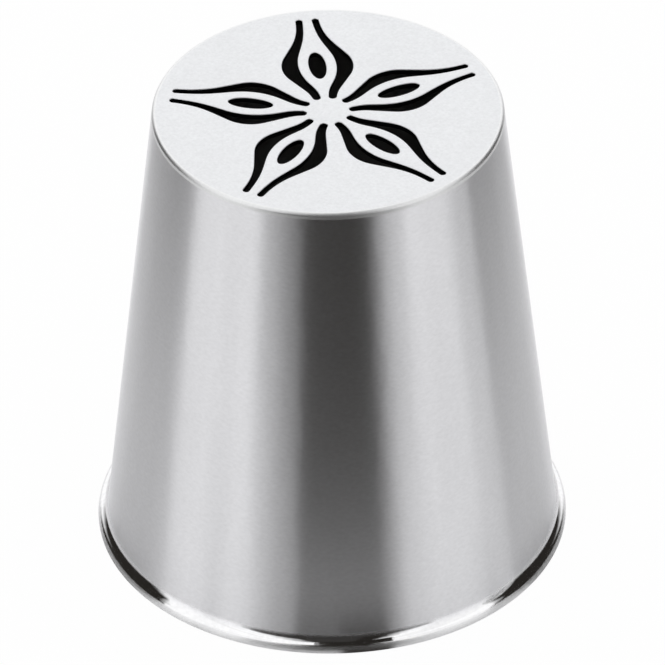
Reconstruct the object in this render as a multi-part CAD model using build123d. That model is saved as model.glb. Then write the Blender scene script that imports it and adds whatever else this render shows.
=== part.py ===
from build123d import *
import os
from math import acos, atan2, cos, degrees, hypot, radians, sin, tan

# Piping nozzle of thin stainless sheet: a tapered wall with a hemmed rim, closed at its small end by a
# flat plate with flower-shaped slots. It stands on its rim with the slotted face up.
# The origin is on the nozzle's axis, in the plane that the rim rests on, and +Z runs towards the face.
# Lengths are millimetres and angles are degrees.

# Overall sizes
nozzle_height = 35.5
face_diameter = 24.8
rim_diameter = 33.5

# Tapered wall, from one sheet that flares out at its foot. The radius is on the flare's outer side.
wall_thickness = 0.42
flare_radius = 0.8
flare_end_angle = 65.0

# Hemmed rim: the same sheet, folded back under its flare and pressed shut, with a flat ground on it.
# The fold's nose is half an ellipse, and the hem ends where the flare still has this angle.
hem_nose_length = 0.46
hem_end_angle = 35.0
rim_flat_depth = 0.03

# Face plate and the ground weld round its edge
plate_thickness = 0.45
corner_radius = 0.28

# Flower-shaped outlet: petals round the axis, the first towards +Y
petal_count = 5
petal_border = 0.9
oval_length = 3.22
oval_width = 1.22
# Where the oval lies along the petal, as a share of the petals' reach
oval_place_share = 0.493
# The two long edges of a side slot, each from its inner end to its outer end: straight runs through
# these places, along the petal and across it, joined by arcs of these radii. All are shares of the
# petals' reach.
outer_edge_shares = ((0.144, 0.075), (0.197, 0.087), (0.480, 0.260), (0.822, 0.082), (0.980, 0.073))
outer_bend_shares = (0.303, 0.237, 0.568)
inner_edge_shares = ((0.158, 0.027), (0.220, 0.034), (0.468, 0.151), (0.812, 0.042), (0.976, 0.030))
inner_bend_shares = (0.343, 0.425, 0.832)

# Run-out of every cut past the piece that it cuts
cut_overrun = 1.0

face_radius = face_diameter / 2
rim_radius = rim_diameter / 2
wall_end_height = nozzle_height - plate_thickness


def sheet_direction(turn):
    """Run of the sheet in the radius-height plane: 0 is straight down and 90 is outwards."""
    return Vector(sin(radians(turn)), -cos(radians(turn)))


def sheet_side(turn):
    """Outward normal of the wall's sheet where it runs at this turn."""
    return Vector(cos(radians(turn)), sin(radians(turn)))


# The nose is centred on the fold, one sheet from either side of the hem, and reaches the rim's
# diameter and the depth that the ground flat takes off
nose_run = sheet_direction(flare_end_angle) * hem_nose_length
nose_side = sheet_side(flare_end_angle) * wall_thickness
fold_center_radius = rim_radius - hypot(nose_run.X, nose_side.X)
fold_center_height = hypot(nose_run.Y, nose_side.Y) - rim_flat_depth
fold_center = Vector(fold_center_radius, fold_center_height)
flare_center = fold_center + sheet_side(flare_end_angle) * (wall_thickness + flare_radius)

# The flank runs from the face's sharp corner and meets the flare's outer side as a tangent
reach_across = flare_center.X - face_radius
reach_down = nozzle_height - flare_center.Y
flank_reach = hypot(reach_across, reach_down)
flank_angle = degrees(acos(flare_radius / flank_reach) - atan2(reach_down, reach_across))

# The plate ends where the rounded corner starts, and seats on the wall's end
plate_radius = face_radius - corner_radius * tan(radians(90 - flank_angle) / 2)
petal_reach = plate_radius - petal_border


def revolved(profile):
    """Solid of a profile drawn with its radius along X and its height along Y."""
    return revolve(Plane.XZ * profile, Axis.Z)


def make_cone_wall():
    """Tapered wall, flare and hemmed rim, as one sheet of even thickness."""
    down = sheet_direction(flank_angle)
    outer_head = Vector(face_radius, nozzle_height) - down * cut_overrun
    inner_head = outer_head - sheet_side(flank_angle) * wall_thickness
    flare_head = flare_center - sheet_side(flank_angle) * flare_radius
    flare = JernArc(flare_head, down, flare_radius, flare_end_angle - flank_angle)
    nose = EllipticalCenterArc(
        fold_center,
        hem_nose_length,
        wall_thickness,
        start_angle=90,
        arc_size=-180,
        rotation=flare_end_angle - 90,
    )
    hem_run = -sheet_direction(flare_end_angle)
    hem_radius = flare_radius + 2 * wall_thickness
    hem = JernArc(nose @ 1, hem_run, hem_radius, hem_end_angle - flare_end_angle)
    hem_edge = Line(hem @ 1, hem @ 1 + sheet_side(hem_end_angle) * wall_thickness)
    inner_run = -sheet_direction(hem_end_angle)
    inner_radius = flare_radius + wall_thickness
    inner_flare = JernArc(hem_edge @ 1, inner_run, inner_radius, flank_angle - hem_end_angle)
    outline = [Line(outer_head, flare_head), flare, nose, hem, hem_edge, inner_flare]
    outline += [Line(inner_flare @ 1, inner_head), Line(inner_head, outer_head)]
    room = Rectangle(rim_radius + cut_overrun, wall_end_height, align=(Align.MIN, Align.MIN))
    return revolved(make_face(outline) & room)


def make_corner_weld():
    """Weld that joins the plate's edge to the wall's end, ground round with the corner."""
    end_radius = face_radius + plate_thickness * tan(radians(flank_angle))
    arc_center = Vector(plate_radius, nozzle_height - corner_radius)
    arc_foot = arc_center + sheet_side(flank_angle) * corner_radius
    arc_middle = arc_center + sheet_side((90 + flank_angle) / 2) * corner_radius
    top = Vector(plate_radius, nozzle_height)
    outer = Vector(end_radius, wall_end_height)
    inner = Vector(plate_radius, wall_end_height)
    outline = [ThreePointArc(top, arc_middle, arc_foot), Line(arc_foot, outer)]
    outline += [Line(outer, inner), Line(inner, top)]
    return revolved(make_face(outline))


def slot_edge(place_shares, bend_shares):
    """Long edge of a side slot: straight runs joined by tangent arcs."""
    places = [Vector(along, across) * petal_reach for along, across in place_shares]
    return FilletPolyline(*places, radius=[share * petal_reach for share in bend_shares])


def slot_end(outer_corner, inner_corner, outward):
    """Round end of a side slot, bulging the way that outward runs."""
    half_width = (outer_corner - inner_corner).length / 2
    tip = (outer_corner + inner_corner) / 2 + outward.normalized() * half_width
    return ThreePointArc(outer_corner, tip, inner_corner)


def slot_outline():
    """Side slot of the petal along +X: a strip that swells in the middle and has round ends."""
    outer = slot_edge(outer_edge_shares, outer_bend_shares)
    inner = slot_edge(inner_edge_shares, inner_bend_shares)
    ends = [slot_end(outer @ 0, inner @ 0, -(outer % 0) - (inner % 0))]
    ends += [slot_end(outer @ 1, inner @ 1, outer % 1 + inner % 1)]
    return make_face(outer.edges() + inner.edges() + ends)


def petal_outline():
    """One petal along +X: an oval between two mirrored side slots."""
    slot = slot_outline()
    oval = Pos(oval_place_share * petal_reach, 0) * Ellipse(oval_length / 2, oval_width / 2)
    return Sketch() + [slot, mirror(slot, Plane.XZ), oval]


def make_face_plate():
    """Flat disc with the petals cut through it."""
    disc = Circle(plate_radius)
    petals = Sketch() + PolarLocations(0, petal_count, start_angle=90) * petal_outline()
    blank = Pos(0, 0, wall_end_height) * extrude(disc, plate_thickness)
    cutter_base = wall_end_height - cut_overrun
    cutter = Pos(0, 0, cutter_base) * extrude(petals, plate_thickness + 2 * cut_overrun)
    return blank - cutter


os.makedirs("parts", exist_ok=True)
export_step(make_cone_wall(), "parts/cone_wall.step")
export_step(make_corner_weld(), "parts/corner_weld.step")
export_step(make_face_plate(), "parts/face_plate.step")
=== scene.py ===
from math import asin, atan2, ceil, cos, pi, radians, sin, tan

import bpy
from mathutils import Matrix, Vector


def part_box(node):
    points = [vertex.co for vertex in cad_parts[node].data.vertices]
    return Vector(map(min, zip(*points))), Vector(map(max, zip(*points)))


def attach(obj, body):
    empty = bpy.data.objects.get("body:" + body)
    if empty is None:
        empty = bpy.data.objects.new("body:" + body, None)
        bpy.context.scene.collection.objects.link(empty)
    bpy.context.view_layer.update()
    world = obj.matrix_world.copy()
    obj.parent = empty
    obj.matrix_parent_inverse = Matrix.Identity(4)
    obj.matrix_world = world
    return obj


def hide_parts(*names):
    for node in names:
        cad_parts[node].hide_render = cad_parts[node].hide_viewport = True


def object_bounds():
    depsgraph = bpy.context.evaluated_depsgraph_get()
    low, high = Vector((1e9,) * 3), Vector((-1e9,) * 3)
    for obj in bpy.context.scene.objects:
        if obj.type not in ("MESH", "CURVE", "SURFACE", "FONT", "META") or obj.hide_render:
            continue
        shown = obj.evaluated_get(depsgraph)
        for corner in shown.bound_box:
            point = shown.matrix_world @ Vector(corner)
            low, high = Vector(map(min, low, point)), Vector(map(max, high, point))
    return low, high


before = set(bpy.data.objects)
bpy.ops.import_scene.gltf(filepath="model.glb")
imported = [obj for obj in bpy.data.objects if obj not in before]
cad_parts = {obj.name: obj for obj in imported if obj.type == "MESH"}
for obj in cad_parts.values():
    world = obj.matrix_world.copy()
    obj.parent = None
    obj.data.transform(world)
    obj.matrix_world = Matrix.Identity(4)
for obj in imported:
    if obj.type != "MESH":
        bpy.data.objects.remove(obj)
cad_low, cad_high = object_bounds()

# Stainless piping nozzle standing on its hemmed rim, slotted face up, on a pale table in soft light.
# Lengths are metres, and the nozzle's axis is the Z axis. Colours are red, green and blue.

MM = 0.001

# Sizes of the nozzle that the CAD frame gives
rim_radius = cad_high.x
nozzle_height = cad_high.z
wall_end_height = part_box("cone_wall")[1].z
wall_end_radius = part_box("corner_weld")[1].x
plate_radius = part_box("face_plate")[1].x
plate_thickness = nozzle_height - wall_end_height

# Sheet of the wall, the flare at its foot and the hem pressed shut under the flare. A turn is the
# angle between the sheet's run and straight down.
face_radius = 12.4 * MM
wall_thickness = 0.42 * MM
corner_radius = 0.28 * MM
flare_radius = 0.8 * MM
flare_end_turn = radians(65)
hem_nose_length = 0.46 * MM
hem_end_turn = radians(35)
foot_flat_depth = 0.03 * MM
flank_turn = atan2(wall_end_radius - face_radius, plate_thickness)
wall_middle_radius = (wall_end_radius + rim_radius) / 2

# Petals of the face: two long slots and an oval each. Places and radii of the slots' edges, from the
# axis outwards, are shares of the petals' reach.
petal_count = 5
petal_border = 0.9 * MM
petal_reach = plate_radius - petal_border
oval_half_length = 1.61 * MM
oval_half_width = 0.61 * MM
oval_place_share = 0.493
outer_edge_shares = ((0.144, 0.075), (0.197, 0.087), (0.480, 0.260), (0.822, 0.082), (0.980, 0.073))
outer_bend_shares = (0.303, 0.237, 0.568)
inner_edge_shares = ((0.158, 0.027), (0.220, 0.034), (0.468, 0.151), (0.812, 0.042), (0.976, 0.030))
inner_bend_shares = (0.343, 0.425, 0.832)
slot_lip_radius = 0.06 * MM

# Fineness of the turned pieces and of the slots
lathe_segments = 360
arc_step = radians(4)
lip_step = radians(22.5)
sharp_angle = radians(35)
merge_distance = 0.0001 * MM

# Colours of the finishes
buffed_colour = (0.97, 0.97, 0.98)
satin_colour = (0.88, 0.88, 0.90)
# Painted shade: the wall's inside is dark so that the slots look black
shaded_inside_colour = (0.22, 0.215, 0.21)
bead_colour = (0.93, 0.935, 0.94)
face_colour = (0.875, 0.885, 0.90)
# Painted shade on the slots' cut walls
cut_shade_colour = (0.02, 0.02, 0.02)

# Heights between which the wall's buffed foot passes into satin, in colour and in gloss, and the
# scuffed nose into the buffed foot
satin_band = (0.86 * MM, 1.15 * MM)
gloss_band = (0.93 * MM, 1.40 * MM)
scuff_band = (0.62 * MM, 0.74 * MM)

# Roughness of the finishes. The scuff's is added to the buffed one.
buffed_roughness = 0.06
scuff_roughness = 0.30
satin_roughness = 0.295
bead_roughness = 0.40
face_roughness = 0.45

# Depth and strength of the relief on each finish
ripple_relief = (0.008 * MM, 0.8)
brushed_relief = (0.001 * MM, 0.25)
bead_relief = (0.002 * MM, 0.3)
face_relief = (0.004 * MM, 0.3)

# Grain that every finish has, fine lines and a slow cloud: the detail of their noises and the value
# that these swing about, the cloud's scale, and the share of the tone's swing that the roughness takes
line_detail = 1
cloud_detail = 3
noise_middle = 0.5
cloud_scale = 260
rough_share = 0.25

# Heights between which the slots' cut walls, painted dark as shade, pass into the face
cut_band = (nozzle_height - 0.08 * MM, nozzle_height - 0.05 * MM)

# Table and light of the studio
table_half = 1.5
table_colour = (0.85, 0.85, 0.85)
table_roughness = 0.9
table_glow_share = 0.97
glow_band = (rim_radius - 1.5 * MM, rim_radius - 0.5 * MM)
fill_strength = 0.75
softbox_side = 0.6
softbox_height = 0.7
softbox_power = 1.4

# Dark flags: the rings in which they lie or stand, the height of the tallest, and how high those on
# the table lie. Dark upright flags that overlap stand in different rings, because stray light shows
# where two of them coincide.
under_rim = rim_radius - 0.1 * MM
foot_ring = 17.6 * MM
outer_ring = 90 * MM
middle_ring = outer_ring - MM
inner_ring = outer_ring - 2 * MM
flag_height = 300 * MM
table_lift = 0.02 * MM
flag_colour = (0.02, 0.018, 0.016)

# The hood's soft edge: shares of the way from its middle to a corner, and the cover at each
hood_rings = ((0.01, 1), (0.93, 1), (1, 0))

# Camera, placed by the photograph: its frame is square
image_side = 665
sensor_width = 36
focal_pixels = 16000
pixels_per_metre = 14080
camera_elevation = radians(36.45)
camera_azimuth = radians(-7.4)
camera_roll = radians(-0.6)
image_centre_x = 330.1
image_centre_y = 313.5
clip_distances = 10

# Places of the colour sockets among the Mix node's inputs and outputs, which share their names
first_colour, second_colour, blended_colour = 6, 7, 2


def arc_points(centre, radius, start, end, squash=1, tilt=0, largest_step=arc_step):
    """Points of an arc in a plane, both ends included. Squash makes it an ellipse and tilt turns it."""
    count = ceil(abs(end - start) / largest_step) + 1
    points = []
    for step in range(count):
        turn = start + (end - start) * step / (count - 1)
        along, across = radius * cos(turn), radius * squash * sin(turn)
        x = centre[0] + along * cos(tilt) - across * sin(tilt)
        y = centre[1] + along * sin(tilt) + across * cos(tilt)
        points.append((x, y))
    return points


def filleted_line(places, radii):
    """Points along straight runs through the places, with each bend between them a tangent arc."""
    places = [Vector(place) for place in places]
    points = [places[0]]
    for before, corner, after, radius in zip(places, places[1:], places[2:], radii):
        run_in, run_out = (corner - before).normalized(), (after - corner).normalized()
        turn = -run_in.angle_signed(run_out)
        side = Vector((-run_in.y, run_in.x)) * (radius if turn > 0 else -radius)
        start = corner - run_in * radius * tan(abs(turn) / 2)
        spoke = atan2(-side.y, -side.x)
        points += arc_points(start + side, radius, spoke, spoke + turn)
    return points + [places[-1]]


def feed(socket, value):
    """Link an input to another node's output, or set it to a plain value. A colour's alpha is 1."""
    if isinstance(value, bpy.types.NodeSocket):
        socket.id_data.links.new(value, socket)
    elif socket.type == "RGBA":
        socket.default_value = (*value, 1)
    else:
        socket.default_value = value


def add_node(tree, kind, inputs=None, **settings):
    """New node with its settings. Its inputs, given by name or by place, are linked or set."""
    node = tree.nodes.new(kind)
    for setting, value in settings.items():
        setattr(node, setting, value)
    for socket, value in (inputs or {}).items():
        feed(node.inputs[socket], value)
    return node


def math_result(tree, operation, *values):
    """Result of a Math node on sockets and numbers."""
    node = add_node(tree, "ShaderNodeMath", dict(enumerate(values)), operation=operation)
    return node.outputs["Value"]


def scaled(tree, vector, scale):
    """Vector or colour multiplied by a number."""
    inputs = {0: vector, "Scale": scale}
    return add_node(tree, "ShaderNodeVectorMath", inputs, operation="SCALE").outputs["Vector"]


def combined(tree, inputs):
    """Vector made of its X, Y and Z."""
    return add_node(tree, "ShaderNodeCombineXYZ", inputs).outputs["Vector"]


def new_tree(name, tree_kind, inputs, outputs):
    """Empty node tree with named inputs and outputs, and the sockets that give its inputs' values."""
    tree = bpy.data.node_groups.new(name, tree_kind)
    for sockets, way in ((inputs, "INPUT"), (outputs, "OUTPUT")):
        for socket, kind in sockets:
            tree.interface.new_socket(socket, in_out=way, socket_type="NodeSocket" + kind)
    return tree, add_node(tree, "NodeGroupInput").outputs


def new_geometry_tree(name, inputs):
    """Empty Geometry Nodes tree with named inputs, a material among them, and one geometry output."""
    inputs = inputs + [("Material", "Material")]
    return new_tree(name, "GeometryNodeTree", inputs, [("Geometry", "Geometry")])


def end_tree(tree, geometry, material):
    """Last steps of each Geometry Nodes tree: no instances are left, and the material is set."""
    real = add_node(tree, "GeometryNodeRealizeInstances", {"Geometry": geometry}).outputs["Geometry"]
    paint = add_node(tree, "GeometryNodeSetMaterial", {"Geometry": real, "Material": material})
    add_node(tree, "NodeGroupOutput", {"Geometry": paint.outputs["Geometry"]})


def own_place(tree):
    """Place of each point."""
    return add_node(tree, "GeometryNodeInputPosition").outputs["Position"]


def circle(tree, segments, radius):
    """Circle about the nozzle's axis."""
    inputs = {"Resolution": segments, "Radius": radius}
    return add_node(tree, "GeometryNodeCurvePrimitiveCircle", inputs).outputs["Curve"]


def swept(tree, path, profile):
    """Surface of a profile carried along a path: the profile's Y runs down."""
    inputs = {"Curve": path, "Profile Curve": profile}
    return add_node(tree, "GeometryNodeCurveToMesh", inputs).outputs["Mesh"]


def downward(tree, height):
    """Place of a height along a swept profile's Y."""
    return math_result(tree, "MULTIPLY", height, -1)


def placed(tree, geometry, place):
    """Geometry with each point moved to a place of its own."""
    inputs = {"Geometry": geometry, "Position": place}
    return add_node(tree, "GeometryNodeSetPosition", inputs).outputs["Geometry"]


def raised(tree, geometry, height):
    """Geometry moved up by a height."""
    inputs = {"Geometry": geometry, "Translation": combined(tree, {"Z": height})}
    return add_node(tree, "GeometryNodeTransform", inputs).outputs["Geometry"]


def flipped(tree, mesh):
    """Mesh with its faces turned the other way."""
    return add_node(tree, "GeometryNodeFlipFaces", {"Mesh": mesh}).outputs["Mesh"]


def shaded(tree, geometry, smooth):
    """Geometry with its faces shaded smooth, or flat."""
    inputs = {"Geometry": geometry, "Shade Smooth": smooth}
    return add_node(tree, "GeometryNodeSetShadeSmooth", inputs).outputs["Geometry"]


def joined(tree, *parts):
    """Geometries joined into one."""
    node = add_node(tree, "GeometryNodeJoinGeometry")
    for part in parts:
        feed(node.inputs["Geometry"], part)
    return node.outputs["Geometry"]


def lathe_tree():
    """Geometry Nodes that turn a closed profile about Z. It is drawn with its radius along X and its
    height along Y, and swept along a circle."""
    inputs = [("Profile", "Geometry"), ("Segments", "Int"), ("Path Radius", "Float")]
    tree, given = new_geometry_tree("lathe", inputs)
    drawn = add_node(tree, "ShaderNodeSeparateXYZ", {"Vector": own_place(tree)}).outputs
    aside = math_result(tree, "SUBTRACT", drawn["X"], given["Path Radius"])
    place = combined(tree, {"X": aside, "Y": downward(tree, drawn["Y"])})
    profile = placed(tree, given["Profile"], place)
    path = circle(tree, given["Segments"], given["Path Radius"])
    end_tree(tree, shaded(tree, swept(tree, path, profile), True), given["Material"])
    return tree


def all_round(tree, outlines, count):
    """Copies of the outlines, spread evenly about the nozzle's axis."""
    inputs = {"Geometry": outlines, "Amount": count}
    copies = add_node(tree, "GeometryNodeDuplicateElements", inputs, domain="SPLINE").outputs
    share = math_result(tree, "DIVIDE", 2 * pi, count)
    turn = math_result(tree, "MULTIPLY", copies["Duplicate Index"], share)
    inputs = {"Vector": own_place(tree), "Angle": turn}
    turned = add_node(tree, "ShaderNodeVectorRotate", inputs, rotation_type="Z_AXIS").outputs["Vector"]
    return placed(tree, copies["Geometry"], turned)


def widened(tree, outlines, width):
    """Outlines, drawn anticlockwise, moved outwards by a width."""
    along = add_node(tree, "GeometryNodeInputTangent").outputs["Tangent"]
    aside = add_node(tree, "ShaderNodeVectorMath", {0: along, 1: (0, 0, 1)}, operation="CROSS_PRODUCT")
    inputs = {"Geometry": outlines, "Offset": scaled(tree, aside.outputs["Vector"], width)}
    return add_node(tree, "GeometryNodeSetPosition", inputs).outputs["Geometry"]


def petal_plate_tree():
    """Geometry Nodes for a disc with one petal's outlines, drawn anticlockwise, cut through all round.
    The cut's profile is swept along each outline: its X runs into the metal, and its Y runs down."""
    inputs = [("Petal", "Geometry"), ("Petals", "Int"), ("Cut Profile", "Object")]
    inputs += [("Lip Radius", "Float"), ("Disc Radius", "Float"), ("Segments", "Int")]
    inputs += [("Top", "Float"), ("Thickness", "Float")]
    tree, given = new_geometry_tree("petal_plate", inputs)
    petals = all_round(tree, given["Petal"], given["Petals"])
    cut = add_node(tree, "GeometryNodeObjectInfo", {"Object": given["Cut Profile"]}).outputs["Geometry"]
    cut_walls = flipped(tree, swept(tree, petals, cut))
    border = circle(tree, given["Segments"], given["Disc Radius"])
    outlines = joined(tree, widened(tree, petals, given["Lip Radius"]), border)
    flat = add_node(tree, "GeometryNodeFillCurve", {"Curve": outlines}).outputs["Mesh"]
    top = given["Top"]
    base = math_result(tree, "SUBTRACT", top, given["Thickness"])
    flats = joined(tree, raised(tree, flat, top), flipped(tree, raised(tree, flat, base)))
    start = combined(tree, {"Y": downward(tree, top)})
    end = combined(tree, {"Y": downward(tree, base)})
    upright = add_node(tree, "GeometryNodeCurvePrimitiveLine", {"Start": start, "End": end})
    rounds = joined(tree, cut_walls, swept(tree, border, upright.outputs["Curve"]))
    whole = joined(tree, shaded(tree, flats, False), shaded(tree, rounds, True))
    inputs = {"Geometry": whole, "Distance": merge_distance}
    merged = add_node(tree, "GeometryNodeMergeByDistance", inputs).outputs["Geometry"]
    end_tree(tree, merged, given["Material"])
    return tree


def drawn_curve(name, outlines, closed=True):
    """Curve object with one straight-sided spline for each outline."""
    curve = bpy.data.curves.new(name, "CURVE")
    curve.dimensions = "3D"
    for outline in outlines:
        line = curve.splines.new("POLY")
        line.points.add(len(outline) - 1)
        for point, (x, y) in zip(line.points, outline):
            point.co = (x, y, 0, 1)
        line.use_cyclic_u = closed
    drawing = bpy.data.objects.new(name, curve)
    bpy.context.scene.collection.objects.link(drawing)
    return drawing


def plain_mesh(name, drawing, tree, values):
    """Run a tree on a drawing, with its inputs given by name, and keep the result as a plain mesh."""
    modifier = drawing.modifiers.new(tree.name, "NODES")
    modifier.node_group = tree
    for socket in tree.interface.items_tree:
        if socket.in_out == "INPUT" and socket.name in values:
            modifier[socket.identifier] = values[socket.name]
    evaluated = drawing.evaluated_get(bpy.context.evaluated_depsgraph_get())
    mesh = bpy.data.meshes.new_from_object(evaluated)
    bpy.data.objects.remove(drawing)
    mesh.name = name
    mesh.set_sharp_from_angle(angle=sharp_angle)
    piece = bpy.data.objects.new(name, mesh)
    bpy.context.scene.collection.objects.link(piece)
    return piece


def turned_piece(name, profile, material, tree):
    """Mesh of a closed profile turned about the nozzle's axis."""
    drawing = drawn_curve(name + "_profile", [profile])
    values = {"Segments": lathe_segments, "Path Radius": rim_radius / 2, "Material": material}
    return plain_mesh(name, drawing, tree, values)


def wall_profile():
    """Wall, flare and hem, as one line round the sheet's cut, ground flat where it meets the table."""
    run = (hem_nose_length * sin(flare_end_turn), -hem_nose_length * cos(flare_end_turn))
    side = (wall_thickness * cos(flare_end_turn), wall_thickness * sin(flare_end_turn))
    fold_radius = rim_radius - Vector((run[0], side[0])).length
    fold_height = Vector((run[1], side[1])).length - foot_flat_depth
    reach = wall_thickness + flare_radius
    flare = (fold_radius + reach * cos(flare_end_turn), fold_height + reach * sin(flare_end_turn))
    fold = (fold_radius, fold_height)
    nose_squash = wall_thickness / hem_nose_length
    nose_tilt = flare_end_turn - pi / 2
    hem_radius = flare_radius + 2 * wall_thickness
    line = [(wall_end_radius, wall_end_height)]
    line += arc_points(flare, flare_radius, pi + flank_turn, pi + flare_end_turn)
    line += arc_points(fold, hem_nose_length, pi / 2, -pi / 2, nose_squash, nose_tilt)[1:]
    line += arc_points(flare, hem_radius, pi + flare_end_turn, pi + hem_end_turn)[1:]
    line += arc_points(flare, reach, pi + hem_end_turn, pi + flank_turn)
    line += [(wall_end_radius - wall_thickness / cos(flank_turn), wall_end_height)]
    return [(radius, max(height, 0)) for radius, height in line]


def weld_profile():
    """Weld bead ground round at the face's corner."""
    centre = (plate_radius, nozzle_height - corner_radius)
    line = arc_points(centre, corner_radius, pi / 2, flank_turn)
    line += [(wall_end_radius, wall_end_height), (plate_radius, wall_end_height)]
    return line


def slot_edge(place_shares, bend_shares):
    """Long edge of a side slot, from its inner end to its outer end: straight runs and tangent arcs."""
    places = [(along * petal_reach, across * petal_reach) for along, across in place_shares]
    return filleted_line(places, [share * petal_reach for share in bend_shares])


def slot_outline():
    """Side slot of the petal along +X, anticlockwise: its two long edges, joined by round ends."""
    outer = slot_edge(outer_edge_shares, outer_bend_shares)[::-1]
    inner = slot_edge(inner_edge_shares, inner_bend_shares)
    line = []
    for edge, after in ((outer, inner), (inner, outer)):
        half = (Vector(edge[-1]) - Vector(after[0])) / 2
        spoke = atan2(half.y, half.x)
        line += edge[:-1] + arc_points(Vector(edge[-1]) - half, half.length, spoke, spoke + pi)[:-1]
    return line


def petal_outlines():
    """Slot, mirrored slot and oval of the first petal, which runs along +Y."""
    slot = slot_outline()
    twin = [(along, -across) for along, across in reversed(slot)]
    centre = (oval_place_share * petal_reach, 0)
    oval = arc_points(centre, oval_half_length, 0, 2 * pi, oval_half_width / oval_half_length)[:-1]
    return [[(-across, along) for along, across in line] for line in (slot, twin, oval)]


def cut_profile():
    """Cut through the plate at a slot's edge, from one rounded lip to the other."""
    top, base = -nozzle_height, -wall_end_height
    lip = slot_lip_radius
    line = arc_points((lip, top + lip), lip, -pi / 2, -pi, largest_step=lip_step)
    return line + arc_points((lip, base - lip), lip, pi, pi / 2, largest_step=lip_step)


def petal_plate(name, material, tree):
    """Face plate with the petals cut through it."""
    profile = drawn_curve(name + "_cut", [cut_profile()], closed=False)
    drawing = drawn_curve(name + "_petal", petal_outlines())
    values = {"Petals": petal_count, "Cut Profile": profile, "Lip Radius": slot_lip_radius}
    values.update({"Disc Radius": plate_radius, "Segments": lathe_segments, "Top": nozzle_height})
    values.update({"Thickness": plate_thickness, "Material": material})
    piece = plain_mesh(name, drawing, tree, values)
    bpy.data.objects.remove(profile)
    return piece


def smooth_step(tree, value, band, start=0, end=1):
    """Smooth step from a start to an end while a value runs through a band."""
    inputs = {"Value": value, "From Min": band[0], "From Max": band[1], "To Min": start, "To Max": end}
    node = add_node(tree, "ShaderNodeMapRange", inputs, interpolation_type="SMOOTHSTEP")
    return node.outputs["Result"]


def blended(tree, share, first, second):
    """Colour that goes from the first to the second while a share goes from 0 to 1."""
    inputs = {"Factor": share, first_colour: first, second_colour: second}
    return add_node(tree, "ShaderNodeMix", inputs, data_type="RGBA").outputs[blended_colour]


def height_of(tree, place):
    """Height of a place."""
    return add_node(tree, "ShaderNodeSeparateXYZ", {"Vector": place}).outputs["Z"]


def distance_from_axis(tree, place):
    """Distance of a place from the nozzle's axis."""
    level = add_node(tree, "ShaderNodeVectorMath", {0: place, 1: (1, 1, 0)}, operation="MULTIPLY")
    length = add_node(tree, "ShaderNodeVectorMath", {0: level.outputs["Vector"]}, operation="LENGTH")
    return length.outputs["Value"]


def grain_group():
    """Metal grain: fine noise drawn out along the brush's run, and a slow cloud, on Object coordinates.
    Tone multiplies a colour, Rough adds to a roughness, and Height feeds a bump."""
    inputs = [("Vector", "Vector"), ("Stretch", "Vector"), ("Scale", "Float")]
    inputs += [("Contrast", "Float"), ("Cloud Contrast", "Float")]
    outputs = [("Tone", "Float"), ("Rough", "Float"), ("Height", "Float")]
    group, given = new_tree("metal_grain", "ShaderNodeTree", inputs, outputs)
    inputs = {0: given["Vector"], 1: given["Stretch"]}
    stretched = add_node(group, "ShaderNodeVectorMath", inputs, operation="MULTIPLY").outputs["Vector"]
    inputs = {"Vector": stretched, "Scale": given["Scale"], "Detail": line_detail}
    lines = add_node(group, "ShaderNodeTexNoise", inputs).outputs["Fac"]
    inputs = {"Vector": given["Vector"], "Scale": cloud_scale, "Detail": cloud_detail}
    cloud = add_node(group, "ShaderNodeTexNoise", inputs).outputs["Fac"]
    swings = []
    for noise, contrast in ((lines, "Contrast"), (cloud, "Cloud Contrast")):
        swing = math_result(group, "SUBTRACT", noise, noise_middle)
        swings.append(math_result(group, "MULTIPLY", swing, given[contrast]))
    both = math_result(group, "ADD", *swings)
    tone = math_result(group, "ADD", both, 1)
    rough = math_result(group, "MULTIPLY", both, rough_share)
    add_node(group, "NodeGroupOutput", {"Tone": tone, "Rough": rough, "Height": lines})
    return group


def grain_of(tree, grain, place, stretch, scale, contrast, cloud_contrast):
    """Grain group placed in a material with the values of that finish."""
    inputs = {"Vector": place, "Stretch": stretch, "Scale": scale, "Contrast": contrast}
    inputs["Cloud Contrast"] = cloud_contrast
    return add_node(tree, "ShaderNodeGroup", inputs, node_tree=grain).outputs


def bumped(tree, height, relief, under=None):
    """Normal of a relief, over another relief's normal if there is one."""
    depth, strength = relief
    inputs = {"Height": height, "Distance": depth, "Strength": strength}
    if under is not None:
        inputs["Normal"] = under
    return add_node(tree, "ShaderNodeBump", inputs).outputs["Normal"]


def steel(name):
    """Bare metallic material: its tree, shader and Object coordinates."""
    material = bpy.data.materials.new(name)
    material.use_nodes = True
    tree = material.node_tree
    shader = tree.nodes["Principled BSDF"]
    feed(shader.inputs["Metallic"], 1)
    return material, tree, shader, add_node(tree, "ShaderNodeTexCoord").outputs["Object"]


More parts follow.
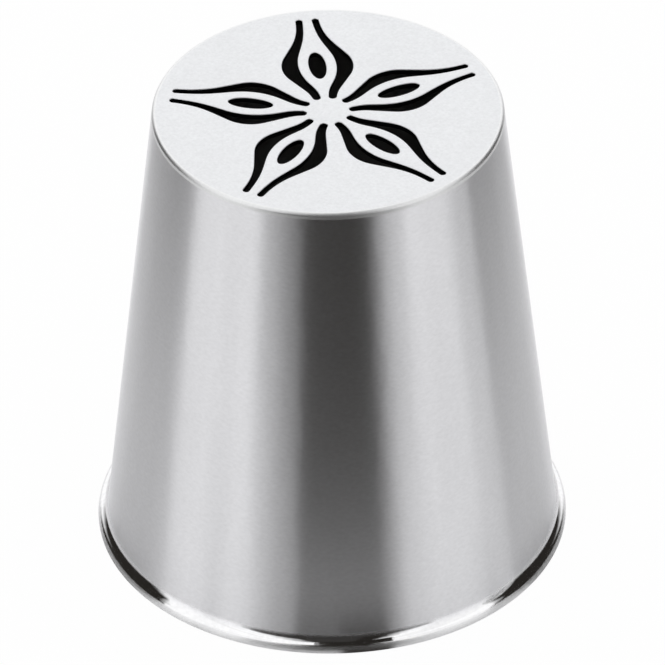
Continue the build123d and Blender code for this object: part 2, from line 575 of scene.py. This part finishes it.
def satin_wall_steel(grain):
    """Satin steel brushed round the axis and buffed bright from the flare down. Its inside is
    painted dark as shade.
    """
    material, tree, shader, place = steel("satin_wall_steel")
    quarter_turn = 0.25
    feed(shader.inputs["Anisotropic"], 1)
    feed(shader.inputs["Anisotropic Rotation"], quarter_turn)
    round_axis = add_node(tree, "ShaderNodeTangent", direction_type="RADIAL", axis="Z")
    feed(shader.inputs["Tangent"], round_axis.outputs["Tangent"])
    height = height_of(tree, place)
    # Depth of a point behind the flank's outer side tells the inside from the outside. One passes into
    # the other in the middle of the sheet.
    lean = math_result(tree, "MULTIPLY", height, tan(flank_turn))
    spread = math_result(tree, "ADD", distance_from_axis(tree, place), lean)
    flank_foot = face_radius + nozzle_height * tan(flank_turn)
    middle_band = (flank_foot - 0.6 * wall_thickness, flank_foot - 0.4 * wall_thickness)
    outside = smooth_step(tree, spread, middle_band)
    outer = blended(tree, smooth_step(tree, height, satin_band), buffed_colour, satin_colour)
    # The inside gets painted shade, the outside its finish
    colour = blended(tree, outside, shaded_inside_colour, outer)
    brush_run = (0.6, 0.6, 1)
    brushing = grain_of(tree, grain, place, brush_run, scale=5000, contrast=0.16, cloud_contrast=0.04)
    streaks = grain_of(tree, grain, place, (1, 1, 0.03), scale=450, contrast=0.12, cloud_contrast=0)
    brushed = scaled(tree, colour, brushing["Tone"])
    feed(shader.inputs["Base Color"], scaled(tree, brushed, streaks["Tone"]))
    gloss = smooth_step(tree, height, gloss_band, buffed_roughness, satin_roughness)
    scuff = smooth_step(tree, height, scuff_band, scuff_roughness, 0)
    rough = math_result(tree, "ADD", gloss, scuff)
    feed(shader.inputs["Roughness"], math_result(tree, "ADD", rough, brushing["Rough"]))
    ripple = grain_of(tree, grain, place, (1, 1, 0.5), scale=1100, contrast=0, cloud_contrast=0)
    wave = bumped(tree, ripple["Height"], ripple_relief)
    feed(shader.inputs["Normal"], bumped(tree, brushing["Height"], brushed_relief, wave))
    return material


def grind(tree, shader, colour, grinding, roughness, relief):
    """Give a shader the colour, roughness and relief of a ground surface."""
    feed(shader.inputs["Base Color"], scaled(tree, colour, grinding["Tone"]))
    feed(shader.inputs["Roughness"], math_result(tree, "ADD", grinding["Rough"], roughness))
    feed(shader.inputs["Normal"], bumped(tree, grinding["Height"], relief))


def ground_bead_steel(grain):
    """Weld bead ground to a fine matt round."""
    material, tree, shader, place = steel("ground_bead_steel")
    grinding = grain_of(tree, grain, place, (1, 1, 1), scale=5000, contrast=0.12, cloud_contrast=0.05)
    grind(tree, shader, bead_colour, grinding, bead_roughness, bead_relief)
    return material


def matt_face_steel(grain):
    """Fine matt ground face plate, whose slots' cut walls are painted dark as shade."""
    material, tree, shader, place = steel("matt_face_steel")
    top = smooth_step(tree, height_of(tree, place), cut_band)
    grinding = grain_of(tree, grain, place, (1, 1, 1), scale=5000, contrast=0.18, cloud_contrast=0.06)
    # Painted shade on the cut walls below the lips
    colour = blended(tree, top, cut_shade_colour, face_colour)
    grind(tree, shader, colour, grinding, face_roughness, face_relief)
    return material


def shader_mix(tree, share, first, second, output):
    """Two shaders mixed by a share, as the material's or the world's surface."""
    mix = add_node(tree, "ShaderNodeMixShader", {"Fac": share, 1: first, 2: second})
    feed(tree.nodes[output].inputs["Surface"], mix.outputs["Shader"])


def stage_floor():
    """Pale table: white to the camera, with a trace of the nozzle's shadow. It doesn't glow under the
    nozzle, so that no white shows through the slots."""
    mesh = bpy.data.meshes.new("table_top")
    half = table_half
    corners = [(-half, -half, 0), (half, -half, 0), (half, half, 0), (-half, half, 0)]
    mesh.from_pydata(corners, [], [(0, 1, 2, 3)])
    table = bpy.data.objects.new("table_top", mesh)
    bpy.context.scene.collection.objects.link(table)
    material = bpy.data.materials.new("pale_table")
    material.use_nodes = True
    tree = material.node_tree
    shader = tree.nodes["Principled BSDF"]
    feed(shader.inputs["Base Color"], table_colour)
    feed(shader.inputs["Roughness"], table_roughness)
    feed(shader.inputs["Specular IOR Level"], 0)
    glow = add_node(tree, "ShaderNodeEmission").outputs["Emission"]
    seen = add_node(tree, "ShaderNodeLightPath").outputs["Is Camera Ray"]
    place = add_node(tree, "ShaderNodeTexCoord").outputs["Object"]
    open_table = smooth_step(tree, distance_from_axis(tree, place), glow_band, 0, table_glow_share)
    share = math_result(tree, "MULTIPLY", seen, open_table)
    shader_mix(tree, share, shader.outputs["BSDF"], glow, "Material Output")
    mesh.materials.append(material)


def ease(value, low, high):
    """Smooth rise from 0 at low to 1 at high."""
    share = min(max((value - low) / (high - low), 0), 1)
    return share * share * (3 - 2 * share)


def dark_card(name, points, covers, faces):
    """Dark studio card that only the metal's reflections see, with its cover given point by point."""
    mesh = bpy.data.meshes.new(name)
    mesh.from_pydata(points, [], faces)
    mesh.attributes.new("cover", "FLOAT", "POINT").data.foreach_set("value", covers)
    card = bpy.data.objects.new(name, mesh)
    bpy.context.scene.collection.objects.link(card)
    card.visible_camera = False
    card.visible_diffuse = False
    card.visible_shadow = False
    card.visible_transmission = False
    material = bpy.data.materials.new(name)
    material.use_nodes = True
    tree = material.node_tree
    tree.nodes.remove(tree.nodes["Principled BSDF"])
    cover = add_node(tree, "ShaderNodeAttribute", attribute_name="cover").outputs["Fac"]
    clear = add_node(tree, "ShaderNodeBsdfTransparent").outputs["BSDF"]
    dark = add_node(tree, "ShaderNodeEmission", {"Color": flag_colour}).outputs["Emission"]
    shader_mix(tree, cover, clear, dark, "Material Output")
    mesh.materials.append(material)


def grid_faces(columns, rows):
    """Faces between neighbouring columns of points."""
    faces = []
    for column in range(columns - 1):
        for row in range(rows - 1):
            first = column * rows + row
            faces.append((first, first + 1, first + rows + 1, first + rows))
    return faces


def flag(name, edges, section, height_shares=(1, 1)):
    """Flag round the nozzle. Its edges are bearings, in degrees from -Y towards +X, between which its
    cover rises or falls by a share. They are the bearings in which the camera sees it in the wall.
    Its section gives radius, height and the share of the cover there. The height shares are those of
    the section's height that it has at its two ends."""
    low, high = edges[0][0], edges[-1][1]
    columns = ceil(high - low) + 1
    points, covers = [], []
    for column in range(columns):
        place = column / (columns - 1)
        bearing = low + (high - low) * place
        rise = (height_shares[0] ** 2 * (1 - place) + height_shares[1] ** 2 * place) ** 0.5
        cover = sum(change * ease(bearing, start, end) for start, end, change in edges)
        aside = wall_middle_radius * sin((radians(bearing) - camera_azimuth) / 2)
        for radius, height, share in section:
            turn = radians(bearing) - asin(aside / radius)
            points.append((radius * sin(turn), -radius * cos(turn), height * rise))
            covers.append(cover * share)
    dark_card(name, points, covers, grid_faces(columns, len(section)))


def hood(name, corners, height):
    """Flag overhead, soft at its edge, with its corners given in plan."""
    middle = sum((Vector(corner) for corner in corners), Vector((0, 0))) / len(corners)
    points, covers = [], []
    for corner in corners + corners[:1]:
        for share, cover in hood_rings:
            place = middle.lerp(Vector(corner), share)
            points.append((place.x, place.y, height))
            covers.append(cover)
    dark_card(name, points, covers, grid_faces(len(corners) + 1, len(hood_rings)))


def lying(*places):
    """Section of a flag on the table, from distances off the nozzle's axis and the cover at each."""
    return [(distance, table_lift, cover) for distance, cover in places]


def standing(ring, *places):
    """Section of an upright flag in a ring, from heights and the cover at each."""
    return [(ring, height, cover) for height, cover in places]


def front_flags():
    """Flags for the wall's dark band in front and the black crescent on the rim below it. The wide one
    has a pale gap on the table, because the band grows paler towards its foot. The small one, and
    the wide one's rows next to the rim, are painted shadow: the nozzle's shadow on the table, seen
    only in the metal."""
    # Painted shadow: a dark sheet next to the rim for the nozzle's shadow on the table
    flag("foot_flag", ((-7, -1, 1), (16, 22, -1)), lying((under_rim, 0.97), (foot_ring, 0.97)))
    # The rows next to the rim, out to 21.5 mm, are painted shadow too
    front = lying((foot_ring, 0.97), (21.5 * MM, 0.97), (23.5 * MM, 0.15), (28 * MM, 0.55))
    front += lying((34 * MM, 0.90), (44 * MM, 0.98), (outer_ring, 0.98))
    front += standing(outer_ring, (250 * MM, 0.98), (flag_height, 0))
    flag("front_flag", ((-49, -27, 0.60), (-29, -22, 0.40), (15, 34, -1)), front)


def side_rim_flags():
    """Flags on the table for the rim's black patches at the sides: dark ones near it, on faint ones.
    The dark ones are painted shadow: the nozzle's shadow on the table, seen only in the metal.
    """
    # Painted shadow: dark sheets next to the rim for the nozzle's shadow on the table
    near = lying((under_rim, 0.9), (foot_ring, 0.6))
    flag("left_foot_flag", ((-150, -138, 1), (-114, -104, -1)), near)
    flag("right_foot_flag", ((88, 98, 1), (122, 134, -1)), near)
    floor = lying((under_rim, 0.18), (outer_ring, 0.18))
    flag("left_floor_flag", ((-158, -132, 1), (-118, -92, -1)), floor)
    flag("right_floor_flag", ((80, 94, 1), (113, 143, -1)), floor)


def side_flags():
    """Upright flags for the softer bands at the wall's sides, with a lower pair beyond them."""
    heights = ((0, 1), (125 * MM, 1), (150 * MM, 0))
    side = standing(outer_ring, *heights)
    flag("left_flag", ((-144, -136, 1), (-101, -89, -1)), side, (1, 0.04))
    flag("right_flag", ((64, 76, 1), (121, 129, -1)), side, (0.04, 1))
    side_end = standing(middle_ring, *heights)
    flag("left_end_flag", ((-156, -142, 1), (-138, -132, -1)), side_end, (0.5, 0.75))
    flag("right_end_flag", ((117, 123, 1), (127, 141, -1)), side_end, (0.75, 0.5))


def crescent_flags():
    """Low wings for the thin dark lines that run out from the crescent on the rim's front."""
    wing = standing(middle_ring, (0, 0.95), (85 * MM, 0.95), (95 * MM, 0))
    flag("left_wing", ((-54, -44, 1), (-24, -20, -1)), wing, (0.05, 1))
    flag("right_wing", ((16, 18, 1), (36, 42, -1)), wing, (0.5, 0.05))


def veils():
    """Faint flags for the light grey stripes between the wall's dark bands."""
    cover = 0.08
    veil = lying((under_rim, cover), (outer_ring, cover)) + standing(outer_ring, (flag_height, cover))
    flag("left_veil", ((-75, -70, 1), (-66, -61, -1)), veil)
    flag("right_veil", ((36, 46, 1), (76, 90, -1)), veil)


def top_flags():
    """High flag in front for the crescent's right end, and a hood overhead for the rim's edge."""
    top = standing(inner_ring, (40 * MM, 0.95), (260 * MM, 0.95), (flag_height, 0))
    flag("front_top_flag", ((4, 9, 1), (17, 23, -1)), top)
    plan = [(-45, -144), (90, -144), (78, -84), (69, -31), (62, 22), (55, 75)]
    plan += [(12, 75), (3, 19), (-28, -29)]
    hood("overhead_hood", [(x * MM, y * MM) for x, y in plan], flag_height)


def studio_light():
    """White surround, dimmer as light than to the eye and in the metal, and a soft lamp overhead."""
    world = bpy.data.worlds.new("studio")
    bpy.context.scene.world = world
    world.use_nodes = True
    tree = world.node_tree
    white = (1, 1, 1)
    fill = tree.nodes["Background"]
    feed(fill.inputs["Color"], white)
    feed(fill.inputs["Strength"], fill_strength)
    bright = add_node(tree, "ShaderNodeBackground", {"Color": white})
    path = add_node(tree, "ShaderNodeLightPath").outputs
    either = math_result(tree, "MAXIMUM", path["Is Camera Ray"], path["Is Glossy Ray"])
    shader_mix(tree, either, fill.outputs["Background"], bright.outputs["Background"], "World Output")
    lamp = bpy.data.lights.new("overhead_softbox", "AREA")
    lamp.shape = "SQUARE"
    lamp.size = softbox_side
    lamp.energy = softbox_power
    softbox = bpy.data.objects.new("overhead_softbox", lamp)
    softbox.location = (0, 0, softbox_height)
    softbox.visible_glossy = False
    bpy.context.scene.collection.objects.link(softbox)


def photo_camera():
    """Camera at the photograph's angle, framed as the photograph is."""
    camera = bpy.data.cameras.new("photo_camera")
    camera.sensor_width = sensor_width
    camera.lens = focal_pixels / image_side * sensor_width
    camera.shift_x = (image_side / 2 - image_centre_x) / image_side
    camera.shift_y = (image_centre_y - image_side / 2) / image_side
    distance = focal_pixels / pixels_per_metre
    camera.clip_end = clip_distances * distance
    level = cos(camera_elevation)
    back = Vector((sin(camera_azimuth) * level, -cos(camera_azimuth) * level, sin(camera_elevation)))
    viewer = bpy.data.objects.new("photo_camera", camera)
    turn = back.to_track_quat("Z", "Y") @ Matrix.Rotation(camera_roll, 4, "Z").to_quaternion()
    viewer.rotation_mode = "QUATERNION"
    viewer.rotation_quaternion = turn
    viewer.location = Vector((0, 0, nozzle_height / 2)) + back * distance
    bpy.context.scene.collection.objects.link(viewer)
    bpy.context.scene.camera = viewer


grain = grain_group()
wall_steel = satin_wall_steel(grain)
face_steel = matt_face_steel(grain)
lathe = lathe_tree()

wall = turned_piece("tapered_wall", wall_profile(), wall_steel, lathe)
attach(wall, "root")
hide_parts("cone_wall")

weld = turned_piece("corner_bead", weld_profile(), ground_bead_steel(grain), lathe)
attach(weld, "root")
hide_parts("corner_weld")

plate = petal_plate("slotted_face", face_steel, petal_plate_tree())
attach(plate, "root")
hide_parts("face_plate")

stage_floor()
front_flags()
side_rim_flags()
side_flags()
crescent_flags()
veils()
top_flags()
studio_light()
photo_camera()

bpy.context.scene.view_settings.view_transform = "Standard"
